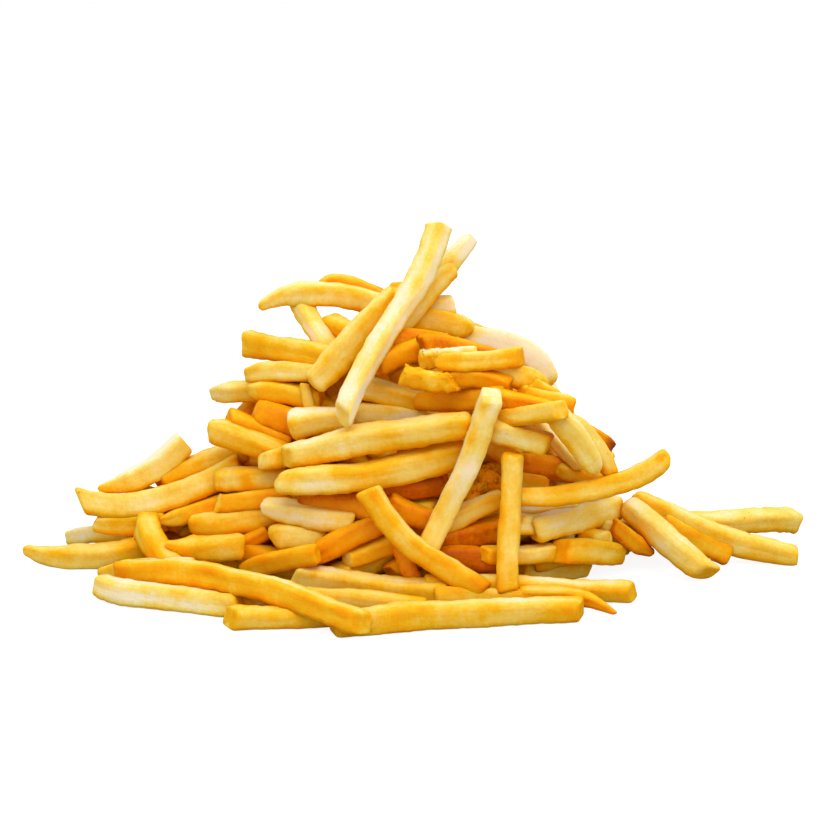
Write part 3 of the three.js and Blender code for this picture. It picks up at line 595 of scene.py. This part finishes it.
def fryBody(fry, number, form, chance):
    own = looks.get(fry.get("name"), {})
    before, after = own.get("stretch", (0, 0))
    whole = 1 + before + after
    line = fry["at"](np.linspace(-before, 1 + after, form["points"]))
    length = np.linalg.norm(np.diff(line, axis=0), axis=1).sum()
    ends = own.get("ends", fry["ends"])

    def direction(share):
        return unit(fry["at"](share + form["aside"]) - fry["at"](share - form["aside"]))

    middle = direction(np.array(0.5))
    facing = -fry["eye"].forward
    turned = np.array((0, 0, 1.0)) if abs(middle[2]) < form["upright"] else facing
    roll = form["roll"] * (2 * (number * form["rollStep"] % 1) - 1)
    top = unit(turned - (turned @ middle) * middle)
    top = top * math.cos(roll) + np.cross(middle, top) * math.sin(roll)
    side = np.cross(top, middle)
    acrossView = unit(np.cross(middle, facing))
    dual = 1 / (1 - 2 / sum(form["square"]))  # how a rounded square's width grows as it turns
    broad = (abs(top @ acrossView) ** dual + abs(side @ acrossView) ** dual) ** (1 / dual)
    thick = form["fat"] * own.get("fat", 1) * fry["width"] * fry["swell"] / broad

    distance, size = ringsOf(ends, thick, length, form["step"])
    share = distance / length * whole - before
    along = direction(share)
    ringTop = unit(top - (along @ top)[:, None] * along)
    ringSide = np.cross(ringTop, along)
    twist = form["twist"] * chance.uniform(-1, 1) * (share - 0.5) * 2
    cosine, sine = np.cos(twist)[:, None], np.sin(twist)[:, None]
    ringTop, ringSide = ringTop * cosine + ringSide * sine, ringSide * cosine - ringTop * sine

    turn = np.arange(form["around"]) * 2 * math.pi / form["around"]
    power = chance.uniform(*form["square"])
    section = (np.abs(np.cos(turn)) ** power + np.abs(np.sin(turn)) ** power) ** (-1 / power)
    faces, edges = (np.array([np.maximum(0, np.cos(turn - (k + off) * math.pi / 2)) ** narrow
                              for k in range(4)])
                    for off, narrow in ((0, form["facePower"]), (0.5, form["edgePower"])))
    uneven = 1 - np.outer(np.ones(len(share)), chance.uniform(*form["sunken"], 4) @ faces)
    uneven += waves(chance, distance, form["swollen"], 4).T @ faces
    uneven += waves(chance, distance, form["nicked"], 4).T @ edges
    rough, *rippled = form["rough"]
    uneven += rough * own.get("rough", 1) * ripples(chance, distance, turn, *rippled)
    squeeze = chance.uniform(*form["squeezed"])
    taper = own.get("taper", form["tapered"] * chance.uniform(-1, 1)) * (2 * share - 1)
    taper += waves(chance, distance, form["bulging"])[0]
    half = thick / 2 * fullness(ends, share) * size * (1 + taper)
    radius = half[:, None] * section * uneven
    sideways = radius * np.cos(turn) * squeeze
    upways = radius * np.sin(turn) / squeeze

    shift = np.zeros_like(sideways)
    dark = max(0, fry["tone"] - browning["middle"]) * browning["dark"]
    tone = np.full_like(sideways, fry["tone"] - dark - browning["lifted"])
    ended = np.zeros_like(sideways)
    for end, fromEnd in ((0, distance), (1, length - distance)):
        endForm = endForms[ends[end]]
        slant = chance.uniform(-1, 1, 2) * endForm["slanted"]
        toFront, across = own.get("cuts", (cut(form["cut"]),) * 2)[end]
        for slanted, way in ((toFront * (1 - 2 * end), facing), (across, acrossView)):
            slant += slanted * np.array((side @ way, top @ way))
        fade = np.clip(1 - fromEnd / (form["cutOver"] * thick), 0, 1) ** 2
        shift += fade[:, None] * (slant[0] * sideways + slant[1] * upways)
        ended += endForm["brown"] * np.exp(-np.maximum(fromEnd, 0) / endForm["over"])[:, None]
    skin = np.clip(skinOver * size, 0, 1)[:, None] ** 2
    tone += skin * ((browning["faces"] * chance.uniform(-1, 1, 4) - browning["middles"]) @ faces)
    edgeTone = chance.uniform(browning["edgeLeast"], 1, (4, 1)) * (
        1 + waves(chance, distance, browning["edgePatches"], 4))
    tone += skin * (browning["edges"] * edgeTone.T @ edges)
    tone += waves(chance, distance, browning["along"])[0][:, None]
    tone += browning["ends"] * chance.uniform(-1, 1) * (share - 0.5)[:, None]

    wander = waves(drift, distance, form["wander"], 2).T @ np.array((acrossView, facing))
    bow = own.get("bow", 0) * np.sin(2 * math.pi * share)[:, None] * acrossView
    middles = fry["at"](share) - heapMiddle + own.get("move", (0, 0, 0)) + bow + wander
    spots = middles[:, None] + sideways[..., None] * ringSide[:, None]
    spots = spots + upways[..., None] * ringTop[:, None] + shift[..., None] * along[:, None]
    spots = pressed(spots)
    # painted shade and light from shaded(), held under the darkest tone, then the browned ends
    tone = np.minimum(tone + shaded(spots, tone), max(browning["most"], fry["tone"])) + ended
    for mark in own.get("marks", ()):
        tone += markTone(mark, spots, line, acrossView, thick)
    grain = np.stack((np.broadcast_to(distance[:, None], tone.shape), sideways, upways), -1)
    return spots, tone, grain + chance.uniform(0, grainApart, 3)


soft = 1.4  # mm over which a fry flattens where it lies on the table


def pressed(spots):
    low = spots[..., 2]
    lifted = soft * np.exp(np.minimum(low - soft, 0) / soft)
    return np.stack((spots[..., 0], spots[..., 1], np.where(low < soft, lifted, low)), -1)


def normalsOf(spots):
    across = np.roll(spots, -1, 1) - np.roll(spots, 1, 1)
    return unit(np.cross(across, np.gradient(spots, axis=0)))


paintedShade = {  # painted shade: the tone goes a deeper gold where neighbouring fries close a point in, as in the shade of crevices
    "over": 20,  # mm
    "strength": 0.6,
    "tone": 0.34,
    "pale": 0.6,  # more on a pale fry
    "under": 0.20,  # painted shade on faces that look down, and painted light, a smaller share, on those that look up
    "upper": 0.12,
}


# painted shade and light: tone added for how closely neighbouring fries close each point in, and
# for which way its face looks
def shaded(spots, tone):
    flat, normals = spots.reshape(-1, 3), normalsOf(spots).reshape(-1, 3)
    middle = flat.mean(0)
    spread = np.linalg.norm(flat - middle, axis=1).max() + paintedShade["over"]
    near = np.linalg.norm(closers - middle, axis=1) < spread
    around, sizes = closers[near], closerSizes[near]
    ahead = normals @ around.T - (normals * flat).sum(1)[:, None]
    apart = (flat ** 2).sum(1)[:, None] + (around ** 2).sum(1) - 2 * flat @ around.T
    apart = np.sqrt(np.maximum(apart, sizes ** 2))
    fades = np.maximum(0, 1 - apart / paintedShade["over"])
    closed = np.maximum(0, ahead) * sizes ** 2 / apart ** 3 * fades
    closed = 1 - np.exp(-paintedShade["strength"] * closed.sum(1))
    closed *= paintedShade["tone"] + paintedShade["pale"] * np.maximum(0, browning["middle"] - tone.ravel())
    closed -= np.where(normals[:, 2] > 0, paintedShade["upper"], paintedShade["under"]) * normals[:, 2]
    return closed.reshape(tone.shape)


def markTone(mark, spots, line, acrossView, thick):  # a browned spot as it shows from the front
    share, side, size, tone = mark
    place = line[round(share * (len(line) - 1))] - heapMiddle + side * thick / 2 * acrossView
    away = spots - place
    away -= (away @ front.forward)[..., None] * front.forward
    return tone * np.exp(-(np.linalg.norm(away, axis=-1) / size) ** 2)


def placed(name, data):
    thing = bpy.data.objects.new(name, data)
    bpy.context.scene.collection.objects.link(thing)
    return thing


def asFries(piece, tones, grains, skin):
    spread = piece.data.attributes
    spread.new("tone", "FLOAT", "POINT").data.foreach_set("value", tones)
    spread.new("grain", "FLOAT_VECTOR", "POINT").data.foreach_set("vector", grains.ravel())
    piece.data.materials.append(skin)
    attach(piece, "root")
    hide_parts("fries_heap")


def sweptMesh(name, bodies):  # one mesh of many bodies, each an array of rings of points in mm
    quads, caps, base = [], [], 0
    for spots in bodies:
        number = base + np.arange(spots[..., 0].size).reshape(spots.shape[:2])
        ahead = np.roll(number, -1, 1)
        quads.append(np.stack((number[:-1], ahead[:-1], ahead[1:], number[1:]), -1).reshape(-1, 4))
        caps += [number[0, ::-1].tolist(), number[-1].tolist()]
        base += number.size
    points = np.concatenate([spots.reshape(-1, 3) * mm for spots in bodies])
    mesh = bpy.data.meshes.new(name)
    mesh.from_pydata(points.tolist(), [], np.concatenate(quads).tolist() + caps)
    mesh.shade_smooth()
    return mesh


def makePiece(name, bodies, skin):
    spots, tones, grains = zip(*bodies)
    mesh = sweptMesh(name, spots)
    asFries(placed(name, mesh), np.concatenate([tone.ravel() for tone in tones]),
            np.concatenate([grain.reshape(-1, 3) for grain in grains]), skin)
    print(name, len(bodies), "made,", 2 * len(mesh.polygons), "triangles")


def arithmetic(operation, reflected=False):  # the method of Wire for one operation
    def combine(wire, other):
        sides = (other, wire) if reflected else (wire, other)
        return wire.nodes.node("ShaderNodeMath", {"operation": operation}, dict(enumerate(sides)))
    return combine


class Wire:  # a node's output, which sums and products may use as if it were a number
    def __init__(self, nodes, socket):
        self.nodes, self.socket = nodes, socket

    __add__ = __radd__ = arithmetic("ADD")
    __mul__ = __rmul__ = arithmetic("MULTIPLY")
    __sub__, __rsub__ = arithmetic("SUBTRACT"), arithmetic("SUBTRACT", reflected=True)
    __truediv__, __rtruediv__ = arithmetic("DIVIDE"), arithmetic("DIVIDE", reflected=True)


class Nodes:  # the nodes of a material or of the world
    def __init__(self, owner):
        owner.use_nodes = True
        self.tree = owner.node_tree
        self.tree.nodes.clear()

    def node(self, kind, settings=None, sockets=None, output=0):
        made = self.tree.nodes.new(kind)
        for key, value in (settings or {}).items():
            if key == "stops":
                self.fillRamp(made.color_ramp, value)
            else:
                setattr(made, key, value)
        for key, value in (sockets or {}).items():
            if isinstance(value, Wire):
                self.tree.links.new(value.socket, made.inputs[key])
            else:
                made.inputs[key].default_value = value
        return Wire(self, made.outputs[output]) if made.outputs else made

    def fillRamp(self, ramp, stops):
        while len(ramp.elements) < len(stops):
            ramp.elements.new(1)
        for element, (place, colour) in zip(ramp.elements, stops):
            element.position = place
            element.color = (*colour, 1)


# colours of fried potato from cream at tone 0 to a dark brown tip beyond 1
potatoTones = [
    (0.00, (0.90, 0.77, 0.51)),
    (0.20, (0.89, 0.66, 0.15)),
    (0.45, (0.87, 0.465, 0.011)),
    (0.65, (0.86, 0.34, 0.003)),
    (0.80, (0.82, 0.27, 0.0015)),
    (1.00, (0.60, 0.135, 0.001)),
    (1.30, (0.26, 0.045, 0.001)),
]
potatoSkin = {
    "patches": dict(scale=0.16, detail=3, tone=0.34, rough=0.2),  # scales are per mm
    "freckles": dict(scale=0.8, detail=2, tone=0.24, rough=0.3, height=0.5),
    "streaks": dict(scale=0.55, detail=2, tone=0.26, height=0.6),
    "blisters": dict(scale=1.9, detail=3, height=0.5),
    "streaked": (0.12, 1, 1),  # streaks are drawn out along a fry
    "noiseRoughness": 0.55,
    "roughness": 0.52,
    "coat": 0.1,  # it gives the oily sheen alone, as shine would turn narrow gaps grey
    "coatRoughness": 0.25,
    "shine": 0,
    "bump": 0.7,
    "bumpHeight": 0.0004,
    "refraction": 1.45,
    "scatter": 0.5,
    "scatterDepth": 0.0026,
    "scattered": (1.0, 0.45, 0.12),  # how far each of red, green and blue goes
}


def friedPotato(settings=potatoSkin):
    material = bpy.data.materials.new("fried_potato_skin")
    skin = Nodes(material)
    grain = skin.node("ShaderNodeAttribute", {"attribute_name": "grain"}, output="Vector")
    tone = skin.node("ShaderNodeAttribute", {"attribute_name": "tone"}, output="Fac")

    def noise(kind, vector=grain):
        return skin.node("ShaderNodeTexNoise", sockets={
            "Vector": vector, "Scale": settings[kind]["scale"],
            "Detail": settings[kind]["detail"], "Roughness": settings["noiseRoughness"]})

    drawnOut = skin.node("ShaderNodeVectorMath", {"operation": "MULTIPLY"},
                         {0: grain, 1: settings["streaked"]})
    noises = {"patches": noise("patches"), "freckles": noise("freckles"),
              "streaks": noise("streaks", drawnOut), "blisters": noise("blisters")}

    def swing(kind, part):
        return (noises[kind] - 0.5) * settings[kind][part]

    browned = tone + swing("patches", "tone") + swing("freckles", "tone") + swing("streaks", "tone")
    roughness = settings["roughness"] + swing("freckles", "rough") + swing("patches", "rough")
    height = swing("freckles", "height") + swing("blisters", "height") + swing("streaks", "height")
    darkest = potatoTones[-1][0]
    stops = [(place / darkest, colour) for place, colour in potatoTones]
    colour = skin.node("ShaderNodeValToRGB", {"stops": stops}, {"Fac": browned / darkest})
    bump = skin.node("ShaderNodeBump", None, {
        "Height": height, "Strength": settings["bump"],
        "Distance": settings["bumpHeight"]}, "Normal")
    shader = skin.node("ShaderNodeBsdfPrincipled", {"subsurface_method": "RANDOM_WALK"}, {
        "Base Color": colour, "Roughness": roughness, "Normal": bump,
        "IOR": settings["refraction"], "Specular IOR Level": settings["shine"],
        "Coat Weight": settings["coat"], "Coat Roughness": settings["coatRoughness"],
        "Subsurface Weight": settings["scatter"], "Subsurface Radius": settings["scattered"],
        "Subsurface Scale": settings["scatterDepth"]})
    skin.node("ShaderNodeOutputMaterial", None, {"Surface": shader})
    return material


# their darker tones are partly painted shade, so that they read as lying deeper in the heap
stuffing = dict(fries=190, facing=(0, 360), rise=(0.02, 0.99), length=(26, 56), slant=85, deep=3.5,
                past=0.05, points=23, curve=4, lowest=0.5, tone=(0.62, 0.86))


def asLaid(eye, fry, at):
    shares = stepsAlong(fry)
    return dict(fry, eye=eye, at=at, swell=1, middles=at(shares),
                radii=fry["width"] * laying["ballShare"] * girth(fry, shares))


def stuffingFries(layer):  # fries that follow the mound where nothing else would show
    draw, laid, number = Draws(seeds["stuffing"]), [], 0
    while len(laid) < layer["fries"]:
        eye, fry = anyFry(layer, number, draw)
        number += 1
        shares = np.linspace(-layer["past"], 1 + layer["past"], layer["points"])
        deep = reachMound(*eye.sight(bend(fry, shares)), -layer["deep"] - fry["width"] / 2)
        if not np.isfinite(deep).all():
            continue
        curve = np.polyfit(shares, deep, layer["curve"])

        def at(share, eye=eye, fry=fry, curve=curve):
            return eye.place(bend(fry, share), np.polyval(curve, np.asarray(share, float)))

        made = asLaid(eye, fry, at)
        if made["middles"][:, 2].min() >= fry["width"] * layer["lowest"]:
            laid.append(dict(made, tone=draw(*layer["tone"])))
    return laid


tableFillers = [  # fries that only show between those in front, which need no name
    ((-34, -10), (-16, -12), (4, -13.5), 6.4, "ss", 0.45),
    ((8, -10.5), (24, -10.5), (40, -10.5), 5.5, "ss", 0.45),
    ((-68, 1), (-58, 0.5), (-48, 1.5), 6, "rs", 0.62),
    ((-58, -11), (-50, -12), (-40, -12), 5, "rs", 0.5),
]


def onTable(row):
    fry = dict(zip(columns[1:], row))

    def at(share):
        spots = bend(fry, share)
        start, ray = front.sight(spots)
        return front.place(spots, (fry["width"] / 2 - start[..., 2]) / ray[..., 2])

    return asLaid(front, fry, at)


guessedTones = {"buried": (0.35, 0.55), "far": (0.15, 0.7)}  # of fries that the photo doesn't show
kindTones = {"pale_fries": 0.32, "golden_fries": 0.6, "browned_fries": math.inf}  # tone below

print("shaping the fries")
chance, drift = (np.random.default_rng(seeds[use]) for use in ("shapes", "wander"))
for fry in buriedFries:
    fry["tone"] = chance.uniform(*guessedTones["buried"])
buriedFries += stuffingFries(stuffing) + [onTable(row) for row in tableFillers]
allFries = shownFries + farFries + buriedFries
# the balls whose nearness paints shade on the fries around them
closers = np.concatenate([fry["middles"] for fry in allFries]) - heapMiddle
closerSizes = np.concatenate([fry["radii"] for fry in allFries]) * (0.5 / laying["ballShare"])
kinds = {kind: [] for kind in (*kindTones, "buried_fries", "crumbs")}
shownBodies = {}
for number, fry in enumerate(shownFries + farFries):
    fry.setdefault("tone", chance.uniform(*guessedTones["far"]))
    body = fryBody(fry, number, fryForm, chance)
    kinds[next(kind for kind in kindTones if fry["tone"] < kindTones[kind])].append(body)
    shownBodies[fry.get("name", number)] = body
for number, fry in enumerate(buriedFries):
    kinds["buried_fries"].append(fryBody(fry, number, buriedForm, chance))

crumbForm = {
    "rings": (-75, -40, 0, 40, 75),  # degrees up
    "around": 8,
    "uneven": (0.6, 1.2),
    "side": (0, -0.5, 0.8),  # of a fry, that they stick to
    "sideLeast": 0.35,
}
crumbs = {  # on which fry: how many, within which share of it, mm across and tone
    "crusty": dict(count=60, within=(0.05, 0.95), size=(1.1, 2.3), tone=(0.8, 1.0)),
    "rough_bit": dict(count=12, within=(0, 0.5), size=(0.5, 1.0), tone=(0.4, 0.6)),
    "rough_stub": dict(count=14, within=(0.1, 0.9), size=(0.5, 1.0), tone=(0.4, 0.7)),
    "crown_lean": dict(count=9, within=(0, 0.06), size=(0.5, 0.9), tone=(0, 0.2)),
}
looseCrumb = dict(count=1, within=(0.05, 0.95), size=(0.35, 0.7), tone=(0.2, 0.6))
looseCrumbs = 90


def balloon(up, around):  # a round body, ring by ring
    up, turn = np.asarray(up)[:, None], np.arange(around) / around * 2 * math.pi
    return np.stack((np.cos(up) * np.cos(turn), np.cos(up) * np.sin(turn),
                     np.sin(up) * np.ones(around)), -1)


def crumbBody(place, size, tone, chance):
    ball = balloon(np.radians(crumbForm["rings"]), crumbForm["around"])
    uneven = chance.uniform(*crumbForm["uneven"], (*ball.shape[:2], 1))
    spots = pressed(place + ball * size / 2 * uneven)
    return spots, np.full(ball.shape[:2], tone), spots


def crumbsOn(body, settings, chance):
    spots, normals = body[0], normalsOf(body[0])
    rings = np.arange(len(spots))
    low, high = (share * (len(spots) - 1) for share in settings["within"])
    lit = normals @ np.array(crumbForm["side"]) > crumbForm["sideLeast"]
    places = spots[lit & ((rings >= low) & (rings <= high))[:, None]]
    if len(places) == 0:
        return []
    return [crumbBody(places[chance.integers(len(places))], chance.uniform(*settings["size"]),
                      chance.uniform(*settings["tone"]), chance) for _ in range(settings["count"])]


for name, settings in crumbs.items():
    kinds["crumbs"] += crumbsOn(shownBodies[name], settings, chance)
for _ in range(looseCrumbs):
    name = list(shownBodies)[chance.integers(len(shownBodies))]
    kinds["crumbs"] += crumbsOn(shownBodies[name], looseCrumb, chance)

potato = friedPotato()
for name, bodies in kinds.items():
    makePiece(name, bodies, potato)

core = {  # inside, where it shows only between the fries; its dark tone is painted shade
    "under": 4,  # mm under the first layer
    "rings": 16,
    "below": 3,  # rings under its widest
    "around": 40,
    "melt": 1.6,
    "tone": 0.8,
}


def makeCore(skin):
    up = np.arange(-core["below"], core["rings"] + 1) / core["rings"] * math.pi / 2
    out = balloon(up, core["around"])
    piece = placed("heap_core", sweptMesh("heap_core", [
        (np.array(half) - sink - core["under"]) * out + (*middle, 0) - heapMiddle
        for middle, half in mound.values()]))
    melt = piece.modifiers.new("melt", "REMESH")
    melt.mode, melt.voxel_size, melt.use_smooth_shade = "VOXEL", core["melt"] * mm, True
    bpy.context.view_layer.update()
    shaped = piece.evaluated_get(bpy.context.evaluated_depsgraph_get())
    whole = bpy.data.meshes.new_from_object(shaped)
    piece.modifiers.clear()
    points = np.zeros(len(whole.vertices) * 3)
    whole.vertices.foreach_get("co", points)
    points = pressed(points.reshape(-1, 3) / mm) * mm
    whole.vertices.foreach_set("co", points.ravel())
    piece.data = whole
    # the core's dark tone is painted shade in the gaps between the fries
    asFries(piece, np.full(len(points), core["tone"]), points / mm, skin)


makeCore(potato)
print("core made")

studio = {
    "floorSize": 6,
    "floorColour": 0.32,
    "floorRoughness": 0.6,
    "floorShine": 0.1,
    "floorGlow": 0.88,  # only as it is seen, so that no glare comes up from it
    "sky": 0.96,
    "backdrop": 1.0,
    "lampsAim": 0.06,
    "key": dict(azimuth=6, elevation=60, distance=0.62, size=0.5, strength=1.8),
    "fill": dict(azimuth=24, elevation=22, distance=3, size=4, strength=13.4),
    "film": 36,
}


def grey(value):
    return (value, value, value, 1)


def makeFloor():
    side = studio["floorSize"] / 2
    mesh = bpy.data.meshes.new("table")
    mesh.from_pydata([(-side, -side, 0), (side, -side, 0), (side, side, 0), (-side, side, 0)], [],
                     [(0, 1, 2, 3)])
    table = placed("table", mesh)
    white = bpy.data.materials.new("table_white")
    paint = Nodes(white)
    seen = paint.node("ShaderNodeLightPath", output="Is Camera Ray")
    glow = paint.node("ShaderNodeMix", {"data_type": "RGBA"}, {
        "Factor": seen, 6: grey(0), 7: grey(studio["floorGlow"])}, "Result")
    shader = paint.node("ShaderNodeBsdfPrincipled", None, {
        "Base Color": grey(studio["floorColour"]), "Roughness": studio["floorRoughness"],
        "Specular IOR Level": studio["floorShine"], "Emission Color": glow,
        "Emission Strength": 1})
    paint.node("ShaderNodeOutputMaterial", None, {"Surface": shader})
    mesh.materials.append(white)


def makeLight(name):  # a soft box: the key is near, so that the wings and foot get less
    settings = studio[name]
    lamp = bpy.data.lights.new(name, "AREA")
    lamp.energy, lamp.size = settings["strength"], settings["size"]
    light = placed(name, lamp)
    turn, rise = math.radians(settings["azimuth"]), math.radians(settings["elevation"])
    level = math.cos(rise)
    away = np.array((math.sin(turn) * level, -math.cos(turn) * level, math.sin(rise)))
    light.location = away * settings["distance"] + (0, 0, studio["lampsAim"])
    light.rotation_euler = (math.pi / 2 - rise, 0, turn)


def makeSky():  # soft light from all round, and a white backdrop behind the heap
    world = bpy.data.worlds.new("studio")
    sky = Nodes(world)
    seen = sky.node("ShaderNodeLightPath", output="Is Camera Ray")
    strength = sky.node("ShaderNodeMapRange", None, {
        "Value": seen, "To Min": studio["sky"], "To Max": studio["backdrop"]})
    light = sky.node("ShaderNodeBackground", None, {"Color": grey(1), "Strength": strength})
    sky.node("ShaderNodeOutputWorld", None, {"Surface": light})
    bpy.context.scene.world = world


def makeCamera():
    lens = bpy.data.cameras.new("camera")
    lens.sensor_width = studio["film"]
    lens.lens = studio["film"] * frontView["distance"] / pictureWidth
    lens.clip_start = 0.01
    camera = placed("camera", lens)
    eye = (front.axis[0] * front.right + front.axis[1] * front.up
           - front.distance * front.forward - heapMiddle)
    camera.location = eye * mm
    camera.rotation_euler = (math.radians(90 - frontView["pitch"]), 0, 0)
    bpy.context.scene.camera = camera


makeFloor()
makeLight("key")
makeLight("fill")
makeSky()
makeCamera()
bpy.context.scene.view_settings.view_transform = "Standard"
bpy.context.scene.view_settings.look = "None"
print("floor, light and camera set")
